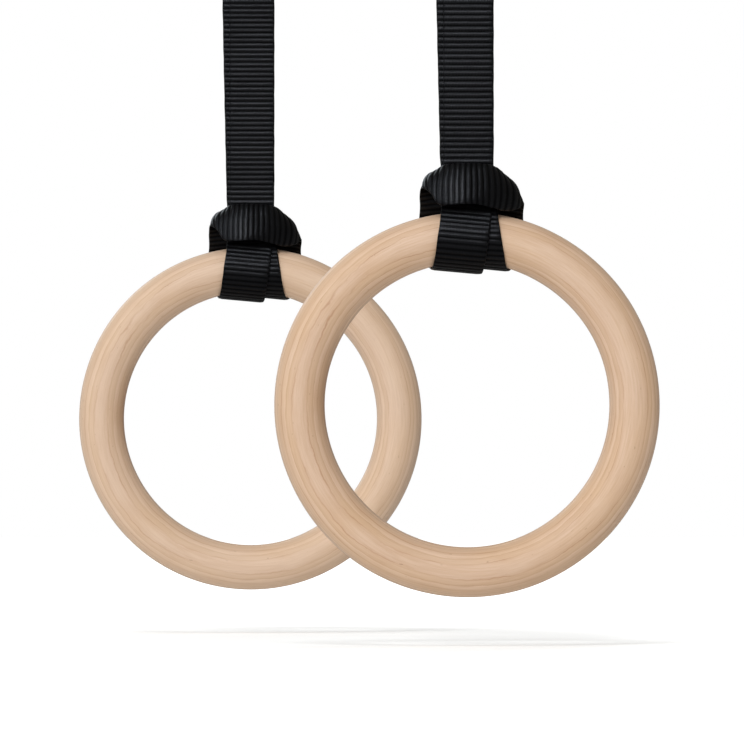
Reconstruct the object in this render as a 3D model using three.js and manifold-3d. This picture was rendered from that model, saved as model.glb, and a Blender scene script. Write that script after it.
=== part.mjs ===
// Pair of wooden gymnastics rings on black webbing straps with cam buckles.
// Millimetres, +Z up. Both rings face -Y. Every strap is looped over its own (absent) crossbar,
// which runs along X. The right ring hangs in front of the left one.
import * as THREE from 'three';
import { ParametricGeometry } from 'three/addons/geometries/ParametricGeometry.js';
import { mergeVertices } from 'three/addons/utils/BufferGeometryUtils.js';
import Module from 'manifold-3d';

const wasm = await Module();
wasm.setup();

// Ring: 32 mm birch bar bent into a 180 mm grip circle.
const BAR_RADIUS = 16;
const GRIP_RADIUS = 90;
const RING_RADIUS = GRIP_RADIUS + BAR_RADIUS;
const RING_OUTER = GRIP_RADIUS + 2 * BAR_RADIUS;
const RING_TOP = 2 * RING_OUTER;

// Suspension points stand 500 mm apart, seen obliquely.
const SIDE_OFFSET = 73.35;
const DEPTH_OFFSET = 239;

// Webbing.
const WEB = 32;
const PLY = 1.5;
const PLY_GAP = 0.4;
const PLY_Y = (PLY + PLY_GAP) / 2;
const FRONT_X = 1.0;
const BACK_X = -1.4;
const SKIN = 0.35;

// Heights above the floor of the ring.
const NECK = RING_TOP + 43.5;
const BEND_GAP = 1.3;
const SWIVEL = RING_TOP + 140;
const SWIVEL_GAP = 0.3;
const APEX = 615;
const BEAM_LOW = 700;
const BEAM_HALF = 30;
const BEAM_TOP = BEAM_LOW + 2 * BEAM_HALF;
const BUCKLE = 499;
const TAIL_TIP = RING_TOP + 187;

// Cam buckle, measured from its lower edge.
const PLATE = 2;
const PLATE_BACK = -2.1;
const PLATE_FRONT = PLATE_BACK - PLATE;
const PLATE_HEIGHT = 45;
const SLOT_LOW = 34;
const SLOT_HIGH = 41;
const CHEEK_IN = 17.6;
const CHEEK_OUT = CHEEK_IN + PLATE;
const PIN = 2.5;
const FIT = 0.3;
const AXLE_Y = -13;
const AXLE_Z = 20;
const BAR_Y = -7;
const BAR_Z = 55;
const CAM_LEFT = -16.8;
const CAM_RIGHT = 11.3;

const wood = new THREE.MeshStandardMaterial({ color: 0xd8bb98, roughness: 0.55, metalness: 0 });
const webbing = new THREE.MeshStandardMaterial({ color: 0x1c1d20, roughness: 0.85, metalness: 0 });
const thread = new THREE.MeshStandardMaterial({ color: 0x2b2c30, roughness: 0.8, metalness: 0 });
const blackSteel = new THREE.MeshStandardMaterial({ color: 0x26272a, roughness: 0.45, metalness: 0.7 });
const zincSteel = new THREE.MeshStandardMaterial({ color: 0xb4b7ba, roughness: 0.35, metalness: 0.95 });
const springSteel = new THREE.MeshStandardMaterial({ color: 0x8c8f93, roughness: 0.3, metalness: 1 });

const group = new THREE.Group();

function weld(geometry) {
  const bare = geometry.clone();
  bare.deleteAttribute('normal');
  bare.deleteAttribute('uv');
  const merged = mergeVertices(bare, 1e-3);
  const index = merged.index.array;
  const kept = [];
  for (let i = 0; i < index.length; i += 3) {
    const [a, b, c] = [index[i], index[i + 1], index[i + 2]];
    if (a !== b && b !== c && c !== a) {
      kept.push(a, b, c);
    }
  }
  merged.setIndex(kept);
  return merged;
}

function solid(geometry) {
  const merged = weld(geometry);
  const vertProperties = new Float32Array(merged.attributes.position.array);
  const triVerts = new Uint32Array(merged.index.array);
  return new wasm.Manifold(new wasm.Mesh({ numProp: 3, vertProperties, triVerts }));
}

function geometryOf(manifold) {
  const mesh = manifold.getMesh();
  const geometry = new THREE.BufferGeometry();
  geometry.setAttribute('position', new THREE.BufferAttribute(mesh.vertProperties, 3));
  geometry.setIndex(new THREE.BufferAttribute(mesh.triVerts, 1));
  return geometry;
}

function add(name, geometry, material, place) {
  const placed = weld(geometry);
  placed.translate(place.x, place.y, place.z);
  placed.computeVertexNormals();
  const mesh = new THREE.Mesh(placed, material);
  mesh.name = name;
  group.add(mesh);
}

// Side profile in (y, z) carried along X from x0 to x1.
function prism(shape, x0, x1, curveSegments = 10) {
  const geometry = new THREE.ExtrudeGeometry(shape, {
    depth: x1 - x0, bevelEnabled: false, steps: 1, curveSegments,
  });
  const axes = new THREE.Matrix4().makeBasis(
    new THREE.Vector3(0, 1, 0), new THREE.Vector3(0, 0, 1), new THREE.Vector3(1, 0, 0));
  geometry.applyMatrix4(axes);
  geometry.translate(x0, 0, 0);
  return geometry;
}

// A ply of webbing whose centre line is a path in the (y, z) plane.
function ply(path, divisions = 6) {
  const points = path.getPoints(divisions).filter(
    (p, i, all) => i === 0 || p.distanceTo(all[i - 1]) > 1e-3);
  const sides = points.map((p, i) => {
    const before = points[Math.max(i - 1, 0)];
    const after = points[Math.min(i + 1, points.length - 1)];
    const into = p.clone().sub(before).normalize();
    const out = after.clone().sub(p).normalize();
    const along = into.clone().add(out).normalize();
    const miter = i === 0 || i === points.length - 1 ? 1 : Math.max(along.dot(out), 0.5);
    const normal = new THREE.Vector2(-along.y, along.x).multiplyScalar(PLY / 2 / miter);
    return [p.clone().add(normal), p.clone().sub(normal)];
  });
  const outline = sides.map((s) => s[0]).concat(sides.map((s) => s[1]).reverse());
  return new THREE.Shape(outline);
}

// ---- girth hitch: one ribbon described by its two edges and how far its middle bulges ----

function barCentre(x) {
  return new THREE.Vector3(x, 0, Math.sqrt(RING_RADIUS ** 2 - x ** 2) - RING_OUTER);
}

function ringDistance(p) {
  const across = Math.hypot(p.x, p.z + RING_OUTER) - RING_RADIUS;
  return Math.hypot(across, p.y) - BAR_RADIUS;
}

// Section of the ribbon lying on the bar at an angle measured from the top over the front.
function onBar(x, degrees, tilt, minimum) {
  const phi = THREE.MathUtils.degToRad(degrees);
  const slope = Math.asin(x / RING_RADIUS);
  const radial = new THREE.Vector3(Math.sin(slope), 0, Math.cos(slope));
  const normal = radial.multiplyScalar(Math.cos(phi)).add(new THREE.Vector3(0, -Math.sin(phi), 0));
  const across = new THREE.Vector3(Math.cos(tilt), 0, -Math.sin(tilt));
  let reach = minimum;
  const clear = (r) => {
    for (let s = -WEB / 2; s <= WEB / 2; s += WEB / 8) {
      const p = barCentre(x).addScaledVector(normal, r - PLY / 2).addScaledVector(across, s);
      if (ringDistance(p) < SKIN) {
        return false;
      }
    }
    return true;
  };
  while (!clear(reach)) {
    reach += 0.02;
  }
  const centre = barCentre(x).addScaledVector(normal, reach);
  return {
    left: centre.clone().addScaledVector(across, -WEB / 2),
    right: centre.clone().addScaledVector(across, WEB / 2),
    cup: 0,
    reach,
  };
}

function flat(x, y, z, tilt = 0) {
  const across = new THREE.Vector3(Math.cos(tilt), 0, -Math.sin(tilt)).multiplyScalar(WEB / 2);
  const centre = new THREE.Vector3(x, y, z);
  return { left: centre.clone().sub(across), right: centre.clone().add(across), cup: 0 };
}

function edges(lx, ly, lz, rx, ry, rz, cup) {
  return { left: new THREE.Vector3(lx, ly, lz), right: new THREE.Vector3(rx, ry, rz), cup };
}

// Where each leg sits along the bar as it winds from the front (50) to the back (300).
const SPREAD = 250;
const WIND = [50, 72, 95, 118, 140, 160, 180, 200, 222, SPREAD, 275, 300];
const OUTER_BACK = -13.9;
const INNER_BACK = 18.9;

function outerX(phi) {
  const t = THREE.MathUtils.clamp((phi - 50) / (SPREAD - 50), 0, 1);
  return THREE.MathUtils.lerp(-0.8, OUTER_BACK, t ** 1.25);
}

function innerX(phi) {
  const t = THREE.MathUtils.clamp((phi - 50) / (SPREAD - 50), 0, 1);
  return THREE.MathUtils.lerp(3.4, INNER_BACK, t ** 1.25);
}

function innerTilt(phi) {
  return Math.asin(innerX(phi) / RING_RADIUS) * 0.8;
}

function outerTilt(phi) {
  const behind = THREE.MathUtils.smoothstep(phi, 190, 270);
  return THREE.MathUtils.lerp(0.09, Math.asin(outerX(phi) / RING_RADIUS), behind);
}

function innerLeg(phi) {
  return onBar(innerX(phi), phi, innerTilt(phi), BAR_RADIUS);
}

function outerLeg(phi) {
  const over = PLY + PLY_GAP + 0.25;
  const apart = THREE.MathUtils.smoothstep(phi, SPREAD, 290);
  const least = innerLeg(phi).reach + over * (1 - apart);
  return onBar(outerX(phi), phi, outerTilt(phi), least);
}

// Sections of the ribbon, heights measured from the ring's top, in the order the webbing runs.
const neckZ = NECK - BEND_GAP - RING_TOP;
const frontPly = [
  flat(FRONT_X, -PLY_Y, neckZ),
  flat(0.9, -1.2, 33),
  flat(0.6, -2.2, 24, 0.01),
  flat(0.3, -4.3, 15, 0.02),
  flat(-0.1, -8.6, 6.5, 0.04),
];
const earsAndBand = [
  // left leg leaving the back of the bar
  edges(-29.8, 10.2, 2.0, 2.0, 10.4, 4.0, 0),
  edges(-29.9, 6.2, 10.0, -1.5, 8.6, 14.0, 1.6),
  edges(-29.4, 0.6, 14.2, -8.5, 8.2, 21.0, 3.6),
  // left ear turning forward
  edges(-27.6, -5.8, 14.6, -15.0, 5.4, 24.6, 5.0),
  edges(-23.4, -11.8, 11.6, -18.5, 0.0, 26.2, 4.4),
  edges(-18.2, -16.6, 4.2, -15.2, -5.6, 29.2, 3.2),
  // band across the front
  edges(-11.2, -19.8, 3.4, -9.8, -7.6, 30.2, 3.0),
  edges(-3.2, -21.0, 4.0, -3.0, -8.8, 30.4, 3.0),
  edges(5.6, -19.8, 4.0, 5.2, -8.0, 30.3, 3.0),
  edges(15.0, -16.4, 2.0, 14.0, -6.0, 29.8, 3.4),
  // right ear turning back
  edges(24.2, -11.0, 0.2, 20.2, -1.0, 27.0, 4.8),
  edges(32.0, -4.6, 1.8, 18.0, 4.8, 24.8, 6.8),
  edges(36.0, 2.0, 5.6, 10.8, 8.4, 20.8, 5.8),
  // right leg going down behind the bar
  edges(36.3, 7.0, 4.0, 5.0, 8.9, 13.2, 2.0),
  edges(35.8, 10.6, -1.0, 2.9, 10.4, 3.0, 0),
];
const backPly = [
  flat(2.6, -6.6, 6.0, 0.05),
  flat(1.3, -2.3, 14.6, 0.03),
  flat(-0.1, -0.2, 24, 0.01),
  flat(-1.0, 0.75, 33),
  flat(BACK_X, PLY_Y, neckZ),
];
const swapEdges = ({ left, right, cup }) => ({ left: right, right: left, cup });
const hitchKeys = [
  ...frontPly,
  ...WIND.map(outerLeg),
  ...earsAndBand,
  ...[...WIND].reverse().map(innerLeg).map(swapEdges),
  ...backPly.map(swapEdges),
];

function hitchGeometry() {
  const a = new THREE.CatmullRomCurve3(hitchKeys.map((k) => k.left), false, 'centripetal');
  const b = new THREE.CatmullRomCurve3(hitchKeys.map((k) => k.right), false, 'centripetal');
  const cups = new THREE.CatmullRomCurve3(hitchKeys.map((k) => new THREE.Vector3(k.cup, 0, 0)));
  const count = (hitchKeys.length - 1) * 2;
  const across = 6;
  const around = 2 * across + 2;
  const frame = (t) => {
    const step = 0.5 / count;
    const mid = (u) => a.getPoint(u).add(b.getPoint(u)).multiplyScalar(0.5);
    const low = Math.max(t - step, 0);
    const high = Math.min(t + step, 1);
    const along = mid(high).sub(mid(low)).normalize();
    const width = b.getPoint(t).sub(a.getPoint(t));
    const normal = new THREE.Vector3().crossVectors(along, width).normalize();
    return { start: a.getPoint(t), width, normal, cup: cups.getPoint(t).x };
  };
  const surface = (u, v, target) => {
    const row = Math.round(v * (count + 2));
    const t = THREE.MathUtils.clamp((row - 1) / count, 0, 1);
    const { start, width, normal, cup } = frame(t);
    const k = Math.round((1 - u) * around) % around;
    const front = k <= across;
    const s = front ? k / across : (around - 1 - k) / across;
    const capped = row === 0 || row === count + 2;
    const side = capped ? 0 : (front ? 1 : -1);
    const bulge = cup * (1 - (2 * s - 1) ** 2);
    target.copy(start).addScaledVector(width, capped ? 0.5 : s);
    target.addScaledVector(normal, (capped ? cup : bulge) + side * PLY / 2);
  };
  return new ParametricGeometry(surface, around, count + 2);
}

// ---- straight runs ----

function run(y, low, high) {
  return ply(new THREE.Path([new THREE.Vector2(y, low), new THREE.Vector2(y, high)]));
}

function strapTopPath() {
  const out = BEAM_HALF + PLY / 2;
  const bend = 3;
  const path = new THREE.Path();
  path.moveTo(-PLY_Y, APEX + BEND_GAP);
  path.lineTo(-PLY_Y - 0.4, APEX + 4);
  path.lineTo(-out, BEAM_LOW);
  path.lineTo(-out, BEAM_TOP + PLY / 2 - bend);
  path.absarc(-out + bend, BEAM_TOP + PLY / 2 - bend, bend, Math.PI, Math.PI / 2, true);
  path.lineTo(out - bend, BEAM_TOP + PLY / 2);
  path.absarc(out - bend, BEAM_TOP + PLY / 2 - bend, bend, Math.PI / 2, 0, true);
  path.lineTo(out, BEAM_LOW);
  path.lineTo(PLY_Y + 0.4, APEX + 4);
  path.lineTo(PLY_Y, APEX + BEND_GAP);
  return path;
}

function sewnEndPath() {
  const loop = PIN + SKIN + PLY / 2;
  const z = BUCKLE + BAR_Z;
  const path = new THREE.Path();
  path.moveTo(-PLY_Y, APEX - BEND_GAP);
  path.lineTo(-PLY_Y, z + 16);
  path.lineTo(BAR_Y + loop, z + 2);
  path.absarc(BAR_Y, z, loop, 0, Math.PI, true);
  path.lineTo(BAR_Y - loop, z + 1);
  path.lineTo(-PLY_Y - PLY - 0.15, z + 16);
  path.lineTo(-PLY_Y - PLY - 0.15, z + 50);
  return path;
}

function freeEndPath() {
  const turn = PLATE / 2 + SKIN + PLY / 2;
  const mid = (PLATE_BACK + PLATE_FRONT) / 2;
  const path = new THREE.Path();
  path.moveTo(mid + turn, SWIVEL + SWIVEL_GAP);
  path.lineTo(mid + turn, BUCKLE + SLOT_LOW);
  path.absarc(mid, BUCKLE + SLOT_LOW, turn, 0, Math.PI, false);
  path.lineTo(mid - turn, BUCKLE - 3);
  path.bezierCurveTo(mid - turn, BUCKLE - 14, mid - turn - 3, BUCKLE - 20, mid - turn - 3, BUCKLE - 34);
  path.lineTo(mid - turn - 3, TAIL_TIP);
  return path;
}

// ---- buckle ----

function circle(shape, y, z, radius) {
  const count = 20;
  const turn = THREE.ShapeUtils.isClockWise(shape.getPoints()) ? 2 * Math.PI : -2 * Math.PI;
  const rim = Array.from({ length: count }, (_, i) => {
    const angle = turn * (i / count);
    return new THREE.Vector2(y + radius * Math.cos(angle), z + radius * Math.sin(angle));
  });
  shape.holes.push(new THREE.Path(rim));
}

function cheekShape() {
  const shape = new THREE.Shape();
  shape.moveTo(PLATE_BACK, BUCKLE + 1);
  shape.lineTo(-9, BUCKLE + 1);
  shape.lineTo(-18.5, BUCKLE + 12);
  shape.quadraticCurveTo(-21, BUCKLE + AXLE_Z, -18, BUCKLE + AXLE_Z + 6);
  shape.lineTo(-12, BUCKLE + 46);
  shape.lineTo(-12, BUCKLE + BAR_Z + 2);
  shape.lineTo(-9, BUCKLE + BAR_Z + 6);
  shape.lineTo(PLATE_BACK, BUCKLE + BAR_Z + 6);
  circle(shape, AXLE_Y, BUCKLE + AXLE_Z, PIN + FIT);
  circle(shape, BAR_Y, BUCKLE + BAR_Z, PIN + FIT);
  return shape;
}

function box(x0, x1, y0, y1, z0, z1) {
  const geometry = new THREE.BoxGeometry(x1 - x0, y1 - y0, z1 - z0);
  geometry.translate((x0 + x1) / 2, (y0 + y1) / 2, (z0 + z1) / 2);
  return geometry;
}

function buckleFrame() {
  const lap = 0.5;
  const z = BUCKLE;
  const plate = box(-CHEEK_IN - lap, CHEEK_IN + lap, PLATE_FRONT, PLATE_BACK, z + 1, z + PLATE_HEIGHT);
  const wide = WEB / 2 + 1.2;
  const slot = box(-wide, wide, PLATE_FRONT - 1, PLATE_BACK + 1, z + SLOT_LOW, z + SLOT_HIGH);
  const left = solid(prism(cheekShape(), -CHEEK_OUT, -CHEEK_IN));
  const right = solid(prism(cheekShape(), CHEEK_IN, CHEEK_OUT));
  return geometryOf(solid(plate).subtract(solid(slot)).add(left).add(right));
}

function rivet(shank, length, head, thick) {
  const half = length / 2;
  const profile = [
    [0, -half - thick], [head * 0.75, -half - thick], [head, -half - thick * 0.4], [head, -half],
    [shank, -half], [shank, half],
    [head, half], [head, half + thick * 0.4], [head * 0.75, half + thick], [0, half + thick],
  ].map(([r, h]) => new THREE.Vector2(r, h));
  const geometry = new THREE.LatheGeometry(profile, 20);
  geometry.rotateZ(-Math.PI / 2);
  return geometry;
}

function camLever() {
  const z = BUCKLE + AXLE_Z;
  const teeth = 9;
  const low = -0.42 * Math.PI;
  const high = 0.36 * Math.PI;
  const at = (radius, angle) => new THREE.Vector2(
    AXLE_Y + radius * Math.cos(angle), z + radius * Math.sin(angle));
  const hub = new THREE.Shape();
  hub.moveTo(AXLE_Y - 3.6, z - 3.6);
  for (let i = 0; i < teeth; i += 1) {
    const from = THREE.MathUtils.lerp(low, high, i / teeth);
    const to = THREE.MathUtils.lerp(low, high, (i + 0.75) / teeth);
    const tip = 6.7 - 0.9 * Math.max(to, 0);
    const root = at(tip - 1.1, from);
    const crest = at(tip, to);
    hub.lineTo(root.x, root.y);
    hub.lineTo(crest.x, crest.y);
  }
  hub.lineTo(AXLE_Y + 0.5, z + 5.2);
  hub.lineTo(AXLE_Y - 5.8, z + 21);
  hub.bezierCurveTo(AXLE_Y - 7.4, z + 27, AXLE_Y - 10, z + 31, AXLE_Y - 14.6, z + 32.4);
  hub.lineTo(AXLE_Y - 15.2, z + 30.4);
  hub.bezierCurveTo(AXLE_Y - 12, z + 29, AXLE_Y - 9.8, z + 26, AXLE_Y - 8.4, z + 21);
  hub.lineTo(AXLE_Y - 5.2, z + 3);
  circle(hub, AXLE_Y, z, PIN + FIT);
  return prism(hub, CAM_LEFT, CAM_RIGHT, 5);
}

function spring() {
  const turns = 3;
  const pitch = 1.5;
  const wire = 0.55;
  const mean = PIN + 1.6;
  class Coil extends THREE.Curve {
    getPoint(t, target = new THREE.Vector3()) {
      const angle = 2 * Math.PI * turns * t;
      const x = CAM_RIGHT + 0.9 + turns * pitch * t;
      return target.set(x, AXLE_Y + mean * Math.cos(angle), BUCKLE + AXLE_Z + mean * Math.sin(angle));
    }
  }
  const section = new THREE.Shape();
  section.absarc(0, 0, wire, 0, 2 * Math.PI, false);
  return new THREE.ExtrudeGeometry(section, {
    steps: turns * 14, extrudePath: new Coil(), bevelEnabled: false, curveSegments: 3,
  });
}

function boxStitch() {
  const y = -PLY_Y - PLY - 0.15 - PLY / 2 - FIT;
  const low = BUCKLE + BAR_Z + 20;
  const high = low + 26;
  const half = 12;
  const line = 1.2;
  const outer = new THREE.Shape();
  outer.moveTo(-half, low);
  outer.lineTo(half, low);
  outer.lineTo(half, high);
  outer.lineTo(-half, high);
  const cross = line * 0.8;
  const mid = (low + high) / 2;
  const [x0, x1, z0, z1] = [-half + line, half - line, low + line, high - line];
  const hole = (...corners) => {
    outer.holes.push(new THREE.Path(corners.map((c) => new THREE.Vector2(...c))));
  };
  hole([x0 + cross, z0], [x1 - cross, z0], [0, mid - cross]);
  hole([x0 + cross, z1], [0, mid + cross], [x1 - cross, z1]);
  hole([x0, z0 + cross], [-cross, mid], [x0, z1 - cross]);
  hole([x1, z0 + cross], [x1, z1 - cross], [cross, mid]);
  const geometry = new THREE.ExtrudeGeometry(outer, { depth: 0.5, bevelEnabled: false });
  geometry.rotateX(Math.PI / 2);
  geometry.translate(FRONT_X, y, 0);
  return geometry;
}

function assemble(side, place) {
  const x0 = FRONT_X - WEB / 2;
  const x1 = FRONT_X + WEB / 2;
  const b0 = BACK_X - WEB / 2;
  const b1 = BACK_X + WEB / 2;
  const n = (name) => `${side}_${name}`;
  const ring = new THREE.TorusGeometry(RING_RADIUS, BAR_RADIUS, 24, 96);
  ring.rotateX(Math.PI / 2);
  ring.translate(0, 0, RING_OUTER);
  add(n('ring'), ring, wood, place);
  const hitch = hitchGeometry();
  hitch.translate(0, 0, RING_TOP);
  add(n('strap_hitch'), hitch, webbing, place);
  const lowFrom = NECK + BEND_GAP;
  const lowTo = SWIVEL - SWIVEL_GAP;
  add(n('strap_lower_front'), prism(run(-PLY_Y, lowFrom, lowTo), x0, x1), webbing, place);
  add(n('strap_lower_back'), prism(run(PLY_Y, lowFrom, lowTo), b0, b1), webbing, place);
  const backRun = run(PLY_Y, SWIVEL + SWIVEL_GAP, APEX - BEND_GAP);
  add(n('strap_back_run'), prism(backRun, b0, b1), webbing, place);
  add(n('strap_free_end'), prism(ply(freeEndPath()), x0, x1), webbing, place);
  add(n('strap_sewn_end'), prism(ply(sewnEndPath()), x0, x1), webbing, place);
  add(n('strap_top'), prism(ply(strapTopPath(), 4), x0, x1), webbing, place);
  add(n('box_stitch'), boxStitch(), thread, place);
  const shift = { x: place.x + FRONT_X, y: place.y, z: place.z };
  add(n('buckle_frame'), buckleFrame(), blackSteel, shift);
  const pinLength = 2 * (CHEEK_OUT + FIT);
  const bar = rivet(PIN, pinLength, 3.8, 1.2);
  bar.translate(0, BAR_Y, BUCKLE + BAR_Z);
  add(n('anchor_bar'), bar, zincSteel, shift);
  const axle = rivet(PIN, pinLength, 3.8, 1.2);
  axle.translate(0, AXLE_Y, BUCKLE + AXLE_Z);
  add(n('cam_axle'), axle, zincSteel, shift);
  add(n('cam_lever'), camLever(), blackSteel, shift);
  add(n('cam_spring'), spring(), springSteel, shift);
}

assemble('left', { x: -SIDE_OFFSET, y: DEPTH_OFFSET, z: 0 });
assemble('right', { x: SIDE_OFFSET, y: -DEPTH_OFFSET, z: 0 });

export default group;
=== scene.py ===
import math

import bpy
import numpy as np
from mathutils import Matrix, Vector


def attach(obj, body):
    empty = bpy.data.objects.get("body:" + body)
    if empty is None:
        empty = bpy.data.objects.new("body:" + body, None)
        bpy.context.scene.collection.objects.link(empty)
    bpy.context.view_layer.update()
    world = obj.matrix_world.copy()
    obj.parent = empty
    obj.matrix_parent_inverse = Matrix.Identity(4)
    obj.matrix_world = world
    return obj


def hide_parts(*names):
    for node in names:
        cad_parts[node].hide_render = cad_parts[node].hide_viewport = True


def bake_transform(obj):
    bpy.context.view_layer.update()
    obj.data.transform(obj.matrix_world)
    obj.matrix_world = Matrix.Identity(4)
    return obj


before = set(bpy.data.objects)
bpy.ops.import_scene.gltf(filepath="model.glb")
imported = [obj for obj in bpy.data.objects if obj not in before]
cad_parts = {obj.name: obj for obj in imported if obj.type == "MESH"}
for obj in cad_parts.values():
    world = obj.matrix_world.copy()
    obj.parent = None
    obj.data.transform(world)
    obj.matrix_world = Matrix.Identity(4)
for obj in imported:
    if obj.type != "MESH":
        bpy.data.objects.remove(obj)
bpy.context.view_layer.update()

# Lengths are in millimetres unless a comment says otherwise. X runs to the right, Y to the back, Z up.
MM = 0.001

# Half the distance between the two rings, across and in depth
HALF_ACROSS = 73.35
HALF_DEPTH = 239.0
SIDES = {"left": (-HALF_ACROSS, HALF_DEPTH), "right": (HALF_ACROSS, -HALF_DEPTH)}

# Ring: radius of the wooden bar, inside radius of the ring, and what follows from them
BAR = 16.0
GRIP_R = 90.0
RING_R = GRIP_R + BAR
RING_OUT = RING_R + BAR
RING_TOP = 2 * RING_OUT

# Webbing: PLY_Y is the middle of a hanging ply and FRONT_X that of the front one. SKIN is the air left
# between webbing and what it lies on, RIB the distance between ribs and STEP that between rows of points
WEB = 32.0
PLY = 1.5
PLY_GAP = 0.4
PLY_Y = (PLY + PLY_GAP) / 2
FRONT_X = 1.0
SKIN = 0.35
RIB = 3.5
STEP = 0.4
EDGE_ROUND = 0.75

# Heights: top of the hitch, foot of the bar loop, the crossbar, the buckle's lower edge, the tail's tip
NECK = RING_TOP + 42.2
APEX = 615.0
BEAM_LOW = 700.0
BEAM_HALF = 30.0
BEAM_TOP = BEAM_LOW + 2 * BEAM_HALF
BUCKLE = 499.0
TAIL_TIP = RING_TOP + 187.0

# Buckle: heights are above BUCKLE, places across are from FRONT_X, and AXLE and ANCHOR are (y, height).
# PLATE_MID is the plate that the webbing turns over, PIN a pin's radius and SEWN_Y the sewn end
PLATE_MID = -3.1
SLOT_LOW = 34.0
PIN = 2.5
AXLE = (-13.0, 20.0)
ANCHOR = (-7.0, 55.0)
CHEEK_OUT = 19.6
CAM_RIGHT = 11.3
SEWN_Y = -PLY_Y - PLY - 0.1


# ---------------------------------------------------------------- materials
# Object coordinates and bump distances are in metres.

class Nodes:
    """Short way to write a node tree."""

    def __init__(self, name):
        self.mat = bpy.data.materials.new(name)
        self.mat.use_nodes = True
        self.tree = self.mat.node_tree
        self.tree.nodes.clear()
        self.out = self.tree.nodes.new("ShaderNodeOutputMaterial")

    def node(self, kind, inputs=None, **props):
        n = self.tree.nodes.new(kind)
        for key, value in props.items():
            setattr(n, key, value)
        for key, value in (inputs or {}).items():
            self.put(n.inputs[key], value)
        return n

    def put(self, socket, value):
        if isinstance(value, bpy.types.NodeSocket):
            self.tree.links.new(value, socket)
        else:
            socket.default_value = value

    def math(self, op, a, b=0.0, c=0.0):
        n = self.tree.nodes.new("ShaderNodeMath")
        n.operation = op
        for i, v in enumerate((a, b, c)):
            self.put(n.inputs[i], v)
        return n.outputs[0]

    def vmath(self, op, a, b=(0, 0, 0)):
        n = self.tree.nodes.new("ShaderNodeVectorMath")
        n.operation = op
        self.put(n.inputs[0], a)
        if op == "SCALE":
            self.put(n.inputs[3], b)
        else:
            self.put(n.inputs[1], b)
        return n.outputs[0]

    def mix(self, factor, a, b):
        n = self.tree.nodes.new("ShaderNodeMix")
        n.data_type = "RGBA"
        self.put(n.inputs[0], factor)
        self.put(n.inputs[6], a)
        self.put(n.inputs[7], b)
        return n.outputs[2]

    def noise(self, vector, scale, detail=2.0, rough=0.5):
        n = self.node("ShaderNodeTexNoise", {"Vector": vector, "Scale": scale, "Detail": detail,
                                             "Roughness": rough})
        return n.outputs[0]

    def smooth(self, value, low, high, to_low=0.0, to_high=1.0):
        n = self.node("ShaderNodeMapRange", {"Value": value, "From Min": low, "From Max": high,
                                             "To Min": to_low, "To Max": to_high},
                      interpolation_type="SMOOTHSTEP")
        return n.outputs[0]

    def bump(self, height, strength, distance, normal=None):
        n = self.node("ShaderNodeBump", {"Height": height, "Strength": strength, "Distance": distance})
        if normal is not None:
            self.put(n.inputs["Normal"], normal)
        return n.outputs[0]

    def finish(self, inputs):
        shader = self.node("ShaderNodeBsdfPrincipled", inputs)
        self.put(self.out.inputs[0], shader.outputs[0])
        return self.mat


def rgb(r, g, b):
    """sRGB 0-255 to a linear colour."""
    def lin(c):
        c /= 255
        return c / 12.92 if c <= 0.04045 else ((c + 0.055) / 1.055) ** 2.4
    return (lin(r), lin(g), lin(b), 1.0)


WOOD_CREAM = rgb(225, 194, 164)
WOOD_PINK = rgb(209, 182, 164)
WOOD_TAN = rgb(212, 177, 140)
WOOD_BROWN = rgb(184, 142, 106)
WOOD_LINE = rgb(140, 96, 66)
WOOD_SEAM = rgb(166, 112, 76)
# colour of the painted light on the ring that gets less light
WOOD_PAINTED_LIGHT = rgb(232, 212, 192)
WOOD_HEART_AND_SHADE = rgb(180, 136, 94)
VENEER = 2.8
FIRST_VENEER = -36.7


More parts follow.
